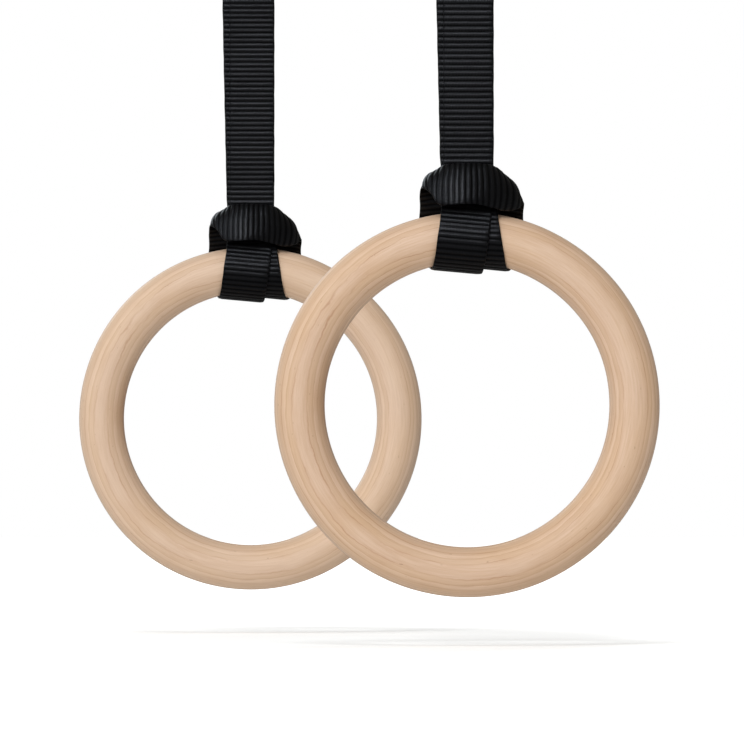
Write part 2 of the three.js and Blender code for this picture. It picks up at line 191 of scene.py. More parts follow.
def wood_material(name, painted_light):
    """Turned birch plywood. The ring_mm attribute says where a point sat in the glued board."""
    m = Nodes(name)
    place = m.node("ShaderNodeAttribute", attribute_name="ring_mm").outputs["Vector"]
    split = m.node("ShaderNodeSeparateXYZ", {"Vector": place})
    x, y, z = split.outputs[0], split.outputs[1], split.outputs[2]
    flat_place = m.node("ShaderNodeCombineXYZ", {"X": x, "Z": z}).outputs[0]
    heading = m.vmath("NORMALIZE", flat_place)
    radius = m.node("ShaderNodeVectorMath", {0: flat_place}, operation="LENGTH").outputs["Value"]

    def around(turns, fine, detail=2.0, rough=0.5, shift=0.0):
        """Noise drawn out along the ring; turns sets the length, fine the width in 1/mm."""
        lift = m.node("ShaderNodeCombineXYZ", {"Y": m.math("MULTIPLY", y, fine)}).outputs[0]
        vector = m.vmath("ADD", m.vmath("SCALE", heading, turns), lift)
        w = m.math("MULTIPLY_ADD", radius, fine, shift)
        n = m.node("ShaderNodeTexNoise", {"Vector": vector, "W": w, "Scale": 1.0, "Detail": detail,
                                          "Roughness": rough}, noise_dimensions="4D")
        return n.outputs[0]

    def centred(value, gain):
        return m.math("MULTIPLY", m.math("SUBTRACT", value, 0.5), gain)

    # depth through the veneers, slowly waving along the ring
    depth = m.math("ADD", y, m.math("MULTIPLY", x, 0.006))
    depth = m.math("ADD", depth, centred(around(1.1, 0.02), 2.8))
    depth = m.math("ADD", depth, centred(around(4.5, 0.04, shift=3.0), 1.3))
    depth = m.math("ADD", depth, centred(around(16.0, 0.25, shift=9.0), 0.6))
    depth = m.math("ADD", depth, centred(around(45.0, 0.4, shift=1.0), 0.2))
    uneven = m.math("MULTIPLY", m.math("SINE", m.math("MULTIPLY", depth, 0.83)), 0.3)
    layer = m.math("ADD", m.math("DIVIDE", m.math("SUBTRACT", depth, FIRST_VENEER), VENEER), uneven)
    index = m.math("FLOOR", layer)
    part = m.math("FRACT", layer)
    tone = m.node("ShaderNodeTexWhiteNoise", {"W": index}, noise_dimensions="1D").outputs[0]
    fibre = around(5.0, 1.1, 5.0, 0.6)
    grain = around(9.0, 3.2, 3.0, 0.6, 5.0)
    cloud = around(1.6, 0.05, 3.0, 0.5, 7.0)
    # each veneer has a tone of its own, and every second one is tanner
    colour = m.mix(m.smooth(tone, 0.2, 0.8), WOOD_CREAM, WOOD_PINK)
    colour = m.mix(m.math("MULTIPLY", m.math("MODULO", index, 2.0), 0.55), colour, WOOD_TAN)
    colour = m.mix(m.smooth(cloud, 0.4, 0.68, 0.0, 0.5), colour, WOOD_TAN)
    # the late wood darkens each veneer towards its edge
    late = m.math("MULTIPLY", m.smooth(part, 0.45, 1.0), m.smooth(cloud, 0.3, 0.6, 0.35, 0.8))
    colour = m.mix(m.math("MULTIPLY", late, 0.3), colour, WOOD_BROWN)
    # thin glue lines that come and go
    edge = m.math("MINIMUM", part, m.math("SUBTRACT", 1.0, part))
    line = m.smooth(edge, 0.0, 0.085, 1.0, 0.0)
    faint = m.smooth(around(3.0, 0.2, 2.0, 0.5, 2.0), 0.36, 0.62, 0.2, 1.0)
    line = m.math("MULTIPLY", line, faint)
    colour = m.mix(m.math("MULTIPLY", line, 0.52), colour, WOOD_SEAM)
    # fibres, grain and dark specks
    colour = m.mix(m.smooth(fibre, 0.35, 0.72, 0.0, 0.3), colour, WOOD_BROWN)
    colour = m.mix(m.smooth(grain, 0.45, 0.8, 0.0, 0.16), colour, WOOD_LINE)
    fleck = m.smooth(around(26.0, 1.0, 2.0, 0.5, 4.0), 0.71, 0.76)
    colour = m.mix(m.math("MULTIPLY", fleck, 0.55), colour, WOOD_LINE)
    # painted light: the wood is mixed towards a paler, cooler colour on the ring that gets less light
    colour = m.mix(painted_light, colour, WOOD_PAINTED_LIGHT)
    # partly heartwood, partly painted shade: the inner left edge of each ring is darkened towards brown
    heart_and_shade = m.node("ShaderNodeAttribute", attribute_name="heartwood_and_shade").outputs["Fac"]
    heart_and_shade = m.math("MULTIPLY", heart_and_shade, m.smooth(cloud, 0.3, 0.6, 0.55, 1.0))
    colour = m.mix(m.math("MULTIPLY", heart_and_shade, 0.8), colour, WOOD_HEART_AND_SHADE)
    rough = m.math("MULTIPLY_ADD", fibre, 0.16, 0.42)
    height = m.math("MULTIPLY_ADD", fibre, 0.6, m.math("MULTIPLY", grain, 0.3))
    height = m.math("MULTIPLY_ADD", line, -0.5, height)
    normal = m.bump(height, 0.3, 0.00025)
    return m.finish({"Base Color": colour, "Roughness": rough, "Normal": normal,
                     "Specular IOR Level": 0.35, "Sheen Weight": 0.16, "Sheen Roughness": 0.5,
                     "Sheen Tint": (0.86, 0.93, 1.0, 1.0)})


YARN = 0.92


def webbing_material():
    """Black ribbed webbing. The web_mm map holds mm across and mm along the strap."""
    m = Nodes("ribbed_webbing")
    uv = m.node("ShaderNodeUVMap", uv_map="web_mm").outputs[0]
    split = m.node("ShaderNodeSeparateXYZ", {"Vector": uv})
    u, v = split.outputs[0], split.outputs[1]
    rib = m.math("DIVIDE", v, RIB)
    row = m.math("FLOOR", rib)
    odd = m.math("MODULO", m.math("ADD", row, 400.0), 2.0)
    # warp yarns run along the strap and pass over the ribs, shifted by half a yarn from rib to rib
    wander = m.noise(m.vmath("MULTIPLY", uv, (0.35, 0.12, 0.0)), 1.0, 2.0)
    yarn = m.math("MULTIPLY", m.math("ADD", u, m.math("MULTIPLY", wander, 0.5)), 1 / YARN)
    yarn = m.math("ADD", yarn, m.math("MULTIPLY", odd, 0.5))
    round_yarn = m.math("ABSOLUTE", m.math("SINE", m.math("MULTIPLY", yarn, math.pi)))
    fine = m.noise(m.vmath("MULTIPLY", uv, (5.0, 1.4, 0.0)), 1.0, 3.0, 0.65)
    dust = m.noise(m.vmath("MULTIPLY", uv, (0.11, 0.07, 0.0)), 1.0, 4.0, 0.6)
    crest = m.math("ABSOLUTE", m.math("SINE", m.math("MULTIPLY", rib, math.pi)))
    crest = m.smooth(crest, 0.35, 0.95)
    # painted shade: the base colour is darker in the grooves between the ribs
    base = m.mix(crest, (0.0012, 0.0012, 0.0014, 1), (0.0034, 0.0034, 0.0039, 1))
    # painted shade: darker still in the gaps between the yarns
    gap = m.smooth(round_yarn, 0.0, 0.55, 1.0, 0.0)
    base = m.mix(m.math("MULTIPLY", gap, 0.5), base, (0.001, 0.001, 0.0012, 1))
    base = m.mix(m.smooth(dust, 0.5, 0.8, 0.0, 0.2), base, (0.010, 0.010, 0.011, 1))
    rough = m.math("MULTIPLY_ADD", fine, 0.14, 0.23)
    # painted shade in the reflections: the ribs' crests shine, the grooves and the gaps between yarns
    # hardly do
    gloss = m.math("MULTIPLY_ADD", crest, 0.65, 0.35)
    gloss = m.math("MULTIPLY", gloss, m.math("MULTIPLY_ADD", gap, -0.5, 1.0))
    rib_tone = m.node("ShaderNodeTexWhiteNoise", {"W": row}, noise_dimensions="1D").outputs[0]
    gloss = m.math("MULTIPLY", gloss, m.math("MULTIPLY_ADD", rib_tone, 0.3, 0.85))
    gloss = m.math("MULTIPLY_ADD", gloss, 0.34, 0.007)
    weave = m.bump(round_yarn, 0.5, 0.00016)
    normal = m.bump(fine, 0.35, 0.00008, weave)
    return m.finish({"Base Color": base, "Roughness": rough, "Normal": normal,
                     "Specular IOR Level": gloss, "Specular Tint": (0.86, 0.9, 1.0, 1.0),
                     "Sheen Weight": 0.01, "Sheen Roughness": 0.4})


def thread_material():
    m = Nodes("bonded_thread")
    place = m.node("ShaderNodeTexCoord").outputs["Object"]
    twist = m.node("ShaderNodeTexWave", {"Vector": place, "Scale": 900.0, "Distortion": 1.5},
                   wave_type="BANDS", bands_direction="DIAGONAL").outputs[0]
    colour = m.mix(twist, (0.012, 0.012, 0.013, 1), (0.045, 0.045, 0.05, 1))
    return m.finish({"Base Color": colour, "Roughness": 0.45, "Normal": m.bump(twist, 0.4, 0.0001)})


def coated_steel():
    """Black coating with a slight peel, rubbed through at some edges and scratches."""
    m = Nodes("black_coated_steel")
    place = m.node("ShaderNodeTexCoord").outputs["Object"]
    peel = m.noise(place, 900.0, 3.0)
    blotch = m.noise(place, 70.0, 4.0, 0.6)
    scratch = m.noise(m.vmath("MULTIPLY", place, (2500.0, 400.0, 90.0)), 1.0, 2.0)
    point = m.node("ShaderNodeNewGeometry").outputs["Pointiness"]
    worn = m.math("MULTIPLY", m.smooth(point, 0.62, 0.72), m.smooth(blotch, 0.48, 0.66))
    scratched = m.math("MULTIPLY", m.smooth(scratch, 0.72, 0.8), m.smooth(blotch, 0.55, 0.75))
    bare = m.math("MAXIMUM", m.math("MULTIPLY", worn, 0.6), m.math("MULTIPLY", scratched, 0.2))
    colour = m.mix(bare, (0.014, 0.0145, 0.016, 1), (0.42, 0.42, 0.43, 1))
    rough = m.math("ADD", 0.3, m.math("MULTIPLY", blotch, 0.2))
    metallic = m.math("MULTIPLY", bare, 0.9)
    return m.finish({"Base Color": colour, "Metallic": metallic, "Roughness": rough,
                     "Normal": m.bump(peel, 0.18, 0.0002), "Coat Weight": 0.25, "Coat Roughness": 0.25})


def zinc_steel(name, tint, rough_low):
    """Bare bright metal with fine turning marks."""
    m = Nodes(name)
    place = m.node("ShaderNodeTexCoord").outputs["Object"]
    turned = m.noise(m.vmath("MULTIPLY", place, (2600.0, 160.0, 160.0)), 1.0, 3.0)
    blotch = m.noise(place, 160.0, 4.0, 0.6)
    colour = m.mix(m.smooth(blotch, 0.35, 0.7), tint, tuple(c * 0.72 for c in tint[:3]) + (1.0,))
    rough = m.math("ADD", rough_low, m.math("MULTIPLY", turned, 0.22))
    return m.finish({"Base Color": colour, "Metallic": 1.0, "Roughness": rough,
                     "Normal": m.bump(turned, 0.15, 0.00015)})


# The left ring stands behind the right one and gets less light, so its wood is painted a little paler and
# cooler: painted light
WOOD = {
    "left": wood_material("birch_plywood_painted_lighter", 0.15),
    "right": wood_material("birch_plywood", 0.0),
}
WEBBING = webbing_material()
THREAD = thread_material()
COATED = coated_steel()
ZINC = zinc_steel("zinc_plated_steel", (0.62, 0.63, 0.64, 1.0), 0.24)
SPRING = zinc_steel("spring_wire", (0.42, 0.43, 0.45, 1.0), 0.2)


# ---------------------------------------------------------------- mesh helpers

def new_object(name, verts, faces, material, smooth=True, uvs=None):
    mesh = bpy.data.meshes.new(name)
    mesh.from_pydata(np.asarray(verts).tolist(), [], faces)
    mesh.materials.append(material)
    if smooth:
        mesh.polygons.foreach_set("use_smooth", np.ones(len(mesh.polygons), bool))
    if uvs is not None:
        layer = mesh.uv_layers.new(name="web_mm")
        index = np.zeros(len(mesh.loops), np.int32)
        mesh.loops.foreach_get("vertex_index", index)
        layer.data.foreach_set("uv", np.asarray(uvs, np.float32)[index].ravel())
    mesh.update()
    obj = bpy.data.objects.new(name, mesh)
    bpy.context.scene.collection.objects.link(obj)
    return obj


def waves(s, length, seed):
    """Smooth seeded noise between about -1 and 1 along s."""
    rng = np.random.default_rng(seed)
    total = np.zeros_like(s)
    for k in range(3):
        total += np.sin(s * (2 * math.pi / (length / (1 + 0.7 * k))) + rng.uniform(0, 6.28)) / (1 + k)
    return total / 1.6


def lathe(profile, count):
    """Closed solid turned about X from (x, radius) pairs that start and end on the axis."""
    ring = profile[1:-1]
    angles = np.arange(count) * (2 * math.pi / count)
    verts = [(profile[0][0], 0, 0)]
    for x, r in ring:
        verts += [(x, r * math.cos(a), r * math.sin(a)) for a in angles]
    verts.append((profile[-1][0], 0, 0))
    last = len(verts) - 1
    faces = []
    for j in range(count):
        k = (j + 1) % count
        faces.append((0, 1 + k, 1 + j))
        for i in range(len(ring) - 1):
            a, b = 1 + i * count, 1 + (i + 1) * count
            faces.append((a + j, a + k, b + k, b + j))
        a = 1 + (len(ring) - 1) * count
        faces.append((a + j, a + k, last))
    return np.array(verts), faces


def tube_faces(rows, around):
    """Faces of a closed tube whose points are numbered row by row."""
    faces = []
    for i in range(rows - 1):
        a, b = i * around, (i + 1) * around
        for j in range(around):
            k = (j + 1) % around
            faces.append((a + j, a + k, b + k, b + j))
    faces.append(tuple(range(around))[::-1])
    faces.append(tuple(range(rows * around - around, rows * around)))
    return faces


def tube(points, radius, around):
    """Closed round tube along a polyline."""
    points = np.asarray(points, float)
    tangent = np.gradient(points, axis=0)
    tangent /= np.linalg.norm(tangent, axis=1)[:, None]
    normal = np.cross(tangent[0], (0.31, 0.57, 0.76))
    rows = []
    for p, t in zip(points, tangent):
        normal = normal - t * (normal @ t)
        normal /= np.linalg.norm(normal)
        side = np.cross(t, normal)
        a = np.arange(around) * (2 * math.pi / around)
        rows.append(p + radius * (np.cos(a)[:, None] * normal + np.sin(a)[:, None] * side))
    return np.concatenate(rows), tube_faces(len(rows), around)


# ---------------------------------------------------------------- the strap's path

def catmull(points, t):
    """Centripetal Catmull-Rom through points; t counts keys from 0 to len - 1."""
    p = np.vstack([2 * points[0] - points[1], points, 2 * points[-1] - points[-2]])
    i = np.minimum(t.astype(int), len(points) - 2)
    w = (t - i)[:, None]
    p0, p1, p2, p3 = p[i], p[i + 1], p[i + 2], p[i + 3]
    d = [np.maximum(np.linalg.norm(b - a, axis=1)[:, None] ** 0.5, 1e-4)
         for a, b in ((p0, p1), (p1, p2), (p2, p3))]
    t1 = ((p1 - p0) / d[0] - (p2 - p0) / (d[0] + d[1]) + (p2 - p1) / d[1]) * d[1]
    t2 = ((p2 - p1) / d[1] - (p3 - p1) / (d[1] + d[2]) + (p3 - p2) / d[2]) * d[1]
    return (p1 + t1 * w + (-3 * p1 + 3 * p2 - 2 * t1 - t2) * w ** 2
            + (2 * p1 - 2 * p2 + t1 + t2) * w ** 3)


def bar_centre(x):
    """Middle of the wooden bar at a place across; heights are from the ring's top."""
    return np.array([x, 0.0, math.sqrt(RING_R ** 2 - x ** 2) - RING_OUT])


def ring_distance(p):
    """How far a point lies from the wood."""
    across = math.hypot(p[0], p[2] + RING_OUT) - RING_R
    return math.hypot(across, p[1]) - BAR


def part_way(v, low, high):
    """0 below low, 1 above high and even in between."""
    return min(max((v - low) / (high - low), 0.0), 1.0)


def smoothstep(v, low, high):
    """As part_way, with soft ends."""
    t = part_way(v, low, high)
    return t * t * (3 - 2 * t)


def on_bar(x, degrees, tilt, reach):
    """Both edges of the webbing where it lies on the bar, angle from the top over the front."""
    phi = math.radians(degrees)
    slope = math.asin(x / RING_R)
    radial = np.array([math.sin(slope), 0, math.cos(slope)])
    normal = radial * math.cos(phi) + np.array([0, -math.sin(phi), 0])
    across = np.array([math.cos(tilt), 0, -math.sin(tilt)])
    base = bar_centre(x)
    while min(ring_distance(base + normal * (reach - PLY / 2) + across * s)
              for s in np.linspace(-WEB / 2, WEB / 2, 9)) < SKIN:
        reach += 0.02
    centre = base + normal * reach
    return centre - across * WEB / 2, centre + across * WEB / 2, 0.0, reach


# Degrees round the bar, from the top over the front, at which the two legs of the wrap are placed
WIND = [50, 72, 95, 118, 140, 160, 180, 200, 222, 250, 275, 300]


def leg_x(phi, front, back):
    """Sideways place of a leg, which moves outwards as it goes under the bar."""
    return front + (back - front) * part_way(phi, 50, 250) ** 1.25


def inner_leg(phi):
    """The leg that lies on the wood and ends on the right."""
    x = leg_x(phi, 3.4, 18.9)
    return on_bar(x, phi, math.asin(x / RING_R) * 0.8, BAR)


def outer_leg(phi):
    """The leg that lies over the inner one in front and beside it behind."""
    x = leg_x(phi, -0.8, -13.9)
    behind = smoothstep(phi, 190, 270)
    tilt = 0.09 * (1 - behind) + math.asin(x / RING_R) * behind
    over = (PLY + PLY_GAP + 0.25) * (1 - smoothstep(phi, 250, 290))
    return on_bar(x, phi, tilt, inner_leg(phi)[3] + over)


def flat(x, y, z, tilt=0.0):
    """Both edges of webbing that hangs flat, facing the front."""
    across = np.array([math.cos(tilt), 0, -math.sin(tilt)]) * WEB / 2
    c = np.array([x, y, z])
    return c - across, c + across, 0.0, 0.0


def edges(a, b, cup):
    """Both edges of folded webbing, and how far it bulges between them."""
    return np.array(a, float), np.array(b, float), cup, 0.0


def hitch_keys():
    """Edge pairs of the webbing through the girth hitch; z is measured from the ring's top."""
    neck = NECK - RING_TOP
    first = [
        flat(FRONT_X, -PLY_Y, neck), flat(0.9, -1.2, 33), flat(0.6, -2.2, 24, 0.01),
        flat(0.3, -4.3, 15, 0.02), flat(-0.1, -8.6, 6.5, 0.04)]
    first += [outer_leg(phi) for phi in WIND]
    ears = [
        edges((-29.8, 10.2, 2.0), (2.0, 10.4, 4.0), 0),
        edges((-29.9, 6.2, 10.0), (-1.5, 8.6, 14.0), 1.6),
        edges((-29.4, 0.6, 14.2), (-8.5, 8.2, 21.0), 3.6),
        edges((-27.6, -5.8, 14.6), (-15.0, 5.4, 24.6), 5.0),
        edges((-23.4, -11.8, 11.6), (-18.5, 0.0, 26.2), 4.4),
        edges((-18.2, -16.6, 4.2), (-15.2, -5.6, 29.2), 3.2),
        edges((-11.2, -19.8, 3.4), (-9.8, -7.6, 30.2), 3.0),
        edges((-3.2, -21.0, 4.0), (-3.0, -8.8, 30.4), 3.0),
        edges((5.6, -19.8, 4.0), (5.2, -8.0, 30.3), 3.0),
        edges((15.0, -16.4, 2.0), (14.0, -6.0, 29.8), 3.4),
        edges((24.2, -11.0, 0.2), (20.2, -1.0, 27.0), 4.8),
        edges((32.0, -4.6, 1.8), (18.0, 4.8, 24.8), 6.8),
        edges((36.0, 2.0, 5.6), (10.8, 8.4, 20.8), 5.8),
        edges((36.3, 7.0, 4.0), (5.0, 8.9, 13.2), 2.0),
        edges((35.8, 10.6, -1.0), (2.9, 10.4, 3.0), 0)]
    second = [inner_leg(phi) for phi in reversed(WIND)]
    second += [
        flat(2.6, -6.6, 6.0, 0.05), flat(1.3, -2.3, 14.6, 0.03), flat(-0.1, -0.2, 24, 0.01),
        flat(-1.0, 0.75, 33), flat(-1.4, PLY_Y, neck)]
    return first + ears + [(b, a, cup, r) for a, b, cup, r in second]


def arc(centre, radius, start, end, count=24):
    """Points on a circle, between two angles in degrees."""
    a = np.radians(np.linspace(start, end, count))
    return [(centre[0] + radius * math.cos(t), centre[1] + radius * math.sin(t)) for t in a]


def bezier(p0, p1, p2, p3, count=20):
    """Points on a cubic curve."""
    t = np.linspace(0, 1, count)[:, None]
    p0, p1, p2, p3 = map(np.array, (p0, p1, p2, p3))
    near = (1 - t) ** 3 * p0 + 3 * (1 - t) ** 2 * t * p1
    far = 3 * (1 - t) * t * t * p2 + t ** 3 * p3
    return list(map(tuple, near + far))


def dense(points, step=0.6):
    """Polyline with no gap longer than step."""
    points = np.array(points, float)
    gap = np.linalg.norm(np.diff(points, axis=0), axis=1)
    keep = np.concatenate([[True], gap > 1e-4])
    points = points[keep]
    length = np.concatenate([[0], np.cumsum(np.linalg.norm(np.diff(points, axis=0), axis=1))])
    s = np.linspace(0, length[-1], int(length[-1] / step) + 2)
    return np.stack([np.interp(s, length, points[:, k]) for k in range(2)], axis=1)


def back_shift(z):
    """How far the back ply stands out to the left of the front one, by height."""
    return -np.interp(z, [NECK, RING_TOP + 134, RING_TOP + 176, 470, 560, APEX],
                      [2.3, 4.4, 5.2, 5.0, 2.6, 1.6])


def tail_run():
    """(y, z) of the webbing from the tail's tip, over the buckle's plate and down to the hitch."""
    turn = 1 + SKIN + PLY / 2
    plate = PLATE_MID - turn
    hang = plate - 3
    run = [(hang, TAIL_TIP), (hang, BUCKLE - 34)]
    run += bezier((hang, BUCKLE - 34), (hang, BUCKLE - 20), (plate, BUCKLE - 14), (plate, BUCKLE - 3))
    run += arc((PLATE_MID, BUCKLE + SLOT_LOW), turn, 180, 0)
    run += [(-PLY_Y, BUCKLE + SLOT_LOW - 3), (-PLY_Y, NECK + 0.3)]
    return dense(run)


def loop_run():
    """(y, z) of the webbing from the hitch, over the crossbar and round the anchor bar."""
    out = BEAM_HALF + PLY / 2
    bend = 3.0
    top = BEAM_TOP + PLY / 2
    foot = [(PLY_Y, APEX), (PLY_Y, APEX + 6), (PLY_Y + 1.3, APEX + 8), (PLY_Y + 3.4, APEX + 14)]
    hip = [(out - 2.5, BEAM_LOW - 7), (out - 0.8, BEAM_LOW - 2.5), (out, BEAM_LOW + 1), (out, BEAM_LOW + 6)]
    run = [(PLY_Y, NECK + 0.3), (PLY_Y, APEX)]
    run += bezier(*foot)
    run += bezier(*hip, 8)
    run += arc((out - bend, top - bend), bend, 0, 90, 10)
    # the front half of the loop mirrors the back half
    run += arc((-out + bend, top - bend), bend, 90, 180, 10)
    run += bezier(*[(-y, z) for y, z in reversed(hip)], 8)
    run += bezier(*[(-y, z) for y, z in reversed(foot)])
    y, z = ANCHOR[0], BUCKLE + ANCHOR[1]
    loop = PIN + SKIN + PLY / 2
    run += bezier((-PLY_Y, z + 22), (-PLY_Y, z + 12), (y + loop, z + 8), (y + loop, z))
    run += arc((y, z), loop, 0, -180, 24)
    run += bezier((y - loop, z), (y - loop, z + 9), (SEWN_Y, z + 8), (SEWN_Y, z + 20))
    run += [(SEWN_Y, z + 50)]
    return dense(run)


def strap_path():
    """Both edges, bulge and arc length of one whole strap, from the tail's tip to the sewn end."""
    front = tail_run()
    half = WEB / 2
    a = [np.stack([np.full(len(front), FRONT_X - half), front[:, 0], front[:, 1]], 1)]
    b = [np.stack([np.full(len(front), FRONT_X + half), front[:, 0], front[:, 1]], 1)]
    cup = [np.zeros(len(front))]
    keys = hitch_keys()
    t = np.linspace(0, len(keys) - 1, (len(keys) - 1) * 24 + 1)
    lift = np.array([0, 0, RING_TOP])
    a.append(catmull(np.array([k[0] for k in keys]), t) + lift)
    b.append(catmull(np.array([k[1] for k in keys]), t) + lift)
    cup.append(catmull(np.array([[k[2], 0, 0] for k in keys], float), t)[:, 0])
    back = loop_run()
    behind = back[:, 0] > 0.5
    rise = np.interp(back[:, 1], [APEX, BEAM_LOW], [1.0, 0.0])
    shift = np.where(behind, back_shift(back[:, 1]) * rise, 0.0)
    a.append(np.stack([FRONT_X + half + shift, back[:, 0], back[:, 1]], 1))
    b.append(np.stack([FRONT_X - half + shift, back[:, 0], back[:, 1]], 1))
    cup.append(np.zeros(len(back)))
    a, b, cup = np.concatenate(a), np.concatenate(b), np.concatenate(cup)
    mid = (a + b) / 2
    s = np.concatenate([[0], np.cumsum(np.linalg.norm(np.diff(mid, axis=0), axis=1))])
    even = np.arange(0, s[-1], STEP)
    resample = lambda v: np.stack([np.interp(even, s, v[:, k]) for k in range(3)], 1)
    return resample(a), resample(b), np.interp(even, s, cup), even


def soften(v, width):
    """Weighted running average over 2 * width + 1 rows."""
    kernel = np.hanning(2 * width + 3)
    kernel /= kernel.sum()
    padded = np.pad(v, ((width + 1, width + 1), (0, 0)), mode="edge")
    return np.stack([np.convolve(padded[:, k], kernel, "valid") for k in range(v.shape[1])], 1)


PATH_A, PATH_B, PATH_CUP, PATH_S = strap_path()
PATH_MID = (PATH_A + PATH_B) / 2
ROWS = np.arange(len(PATH_S))

# Rows where the strap crosses the front of the hitch, turns over the buckle's plate and over the
# crossbar, and the plies that hang between these rows
HITCH_TURN = int(np.argmin(np.abs(PATH_MID[:, 0] - 2) + np.abs(PATH_MID[:, 2] - RING_TOP - 17)))
BUCKLE_TURN = int(np.argmax(np.where(ROWS < HITCH_TURN, PATH_MID[:, 2], -1)))
BAR_TURN = int(np.argmax(PATH_MID[:, 2]))
FRONT_PLY = (ROWS > BUCKLE_TURN) & (ROWS < HITCH_TURN)
BACK_PLY = (ROWS > HITCH_TURN) & (ROWS < BAR_TURN)
SEWN_PLY = ROWS > BAR_TURN


def on_crest(s):
    """The rib crest nearest to an arc length, where two lengths of webbing meet unseen."""
    return (round(s / RIB - 0.5) + 0.5) * RIB


def station(z, ply):
    """Arc length where a ply passes a height, snapped to a crest."""
    gap = np.where(ply, np.abs(PATH_MID[:, 2] - z), np.inf)
    return on_crest(PATH_S[int(np.argmin(gap))])


def across_samples():
    """Places across the webbing from edge to edge, -1 to 1, closer together in the rounded edges."""
    edge = WEB / 2
    curl = edge - EDGE_ROUND * (1 - np.cos(np.linspace(0, math.pi / 2, 5)))
    inner = np.linspace(edge - EDGE_ROUND, EDGE_ROUND - edge, 17)[1:-1]
    return np.concatenate([-curl, inner[::-1], curl[::-1]]) / edge


ACROSS = across_samples()
FROM_EDGE = WEB / 2 * (1 - np.abs(ACROSS))

# Half thickness of the webbing in a groove, and what a rib adds to it
GROOVE = 0.36
CREST = 0.43


def half_thickness(s, seed):
    """Half thickness by arc length and place across: ribs that flatten towards rounded edges."""
    rib = np.abs(np.sin(math.pi * ((s / RIB) % 1.0))) ** 0.85
    selvage = np.clip((FROM_EDGE - 0.5) / 1.1, 0, 1)
    selvage = 0.25 + 0.75 * selvage * selvage * (3 - 2 * selvage)
    uneven = 1 + 0.06 * waves(s, 9.0, seed)
    height = GROOVE + CREST * rib[:, None] * selvage[None, :] * uneven[:, None]
    edge = np.clip(FROM_EDGE / EDGE_ROUND, 0, 1)
    return height * np.sqrt(1 - (1 - edge) ** 2)[None, :]


def webbing(start, end, seed):
    """One length of ribbed webbing between two arc lengths, with a cap at each end."""
    s = np.linspace(start, end, round((end - start) / STEP) + 1)
    take = lambda v: np.stack([np.interp(s, PATH_S, v[:, k]) for k in range(3)], 1)
    a, b = take(PATH_A), take(PATH_B)
    cup = np.interp(s, PATH_S, PATH_CUP)
    smooth_mid = soften(PATH_MID, 2)
    along = take(np.gradient(smooth_mid, axis=0))
    width = b - a
    span = np.linalg.norm(width, axis=1)[:, None]
    w = width / span
    along -= w * (along * w).sum(1)[:, None]
    along /= np.linalg.norm(along, axis=1)[:, None]
    normal = np.cross(along, w)
    wobble = 0.10 * waves(s, 23.0, seed) / (WEB / 2)
    u = ACROSS[None, :] * (1 + wobble[:, None])
    height = half_thickness(s, seed + 9)
    centre = (a + b)[:, None, :] / 2 + u[:, :, None] * width[:, None, :] / 2
    centre = centre + normal[:, None, :] * (cup[:, None] * (1 - u ** 2))[:, :, None]
    tilt = 4 * cup[:, None] * u / span
    local = normal[:, None, :] + w[:, None, :] * tilt[:, :, None]
    local /= np.linalg.norm(local, axis=2)[:, :, None]
    upper = centre + local * height[:, :, None]
    lower = (centre - local * height[:, :, None])[:, 1:-1][:, ::-1]
    verts = np.concatenate([upper, lower], axis=1)
    rows, around = verts.shape[:2]
    v_mm = np.repeat(s[:, None], around, axis=1)
    u_mm = np.concatenate([ACROSS, ACROSS[1:-1][::-1]]) * WEB / 2
    uvs = np.stack([np.repeat(u_mm[None, :], rows, axis=0), v_mm], axis=2).reshape(-1, 2)
    i = np.arange(rows - 1)[:, None] * around
    j = np.arange(around)[None, :]
    k = (j + 1) % around
    quads = np.stack([i + j, i + around + j, i + around + k, i + k], axis=2).reshape(-1, 4)
    faces = quads.tolist()
    # the end caps have corners of their own, so that the sides stay smooth up to the seam
    count = rows * around
    faces.append(list(range(count, count + around)))
    faces.append(list(range(count + around, count + 2 * around))[::-1])
    verts = np.concatenate([verts.reshape(-1, 3), verts[0], verts[-1]])
    uvs = np.concatenate([uvs, uvs[:around], uvs[-around:]])
    return verts, faces, uvs


def place(verts, side):
    """From mm about one strap to metres in the frame."""
    x, y = SIDES[side]
    return (np.asarray(verts) + np.array([x, y, 0.0])) * MM


# Heights where the strap is cut into lengths, and BEND_LOW to BEND_HIGH where it bends above the hitch.
# A twist or swing keeps MARGIN away from the ends of its length
LOW_CUT = RING_TOP + 33
BEND_LOW = RING_TOP + 36
BEND_HIGH = RING_TOP + 62
BEND_TOP = RING_TOP + 84
TWIST_TOP = RING_TOP + 176
SWING_LOW = APEX - 10
SWING_HIGH = APEX + 17
MARGIN = 3


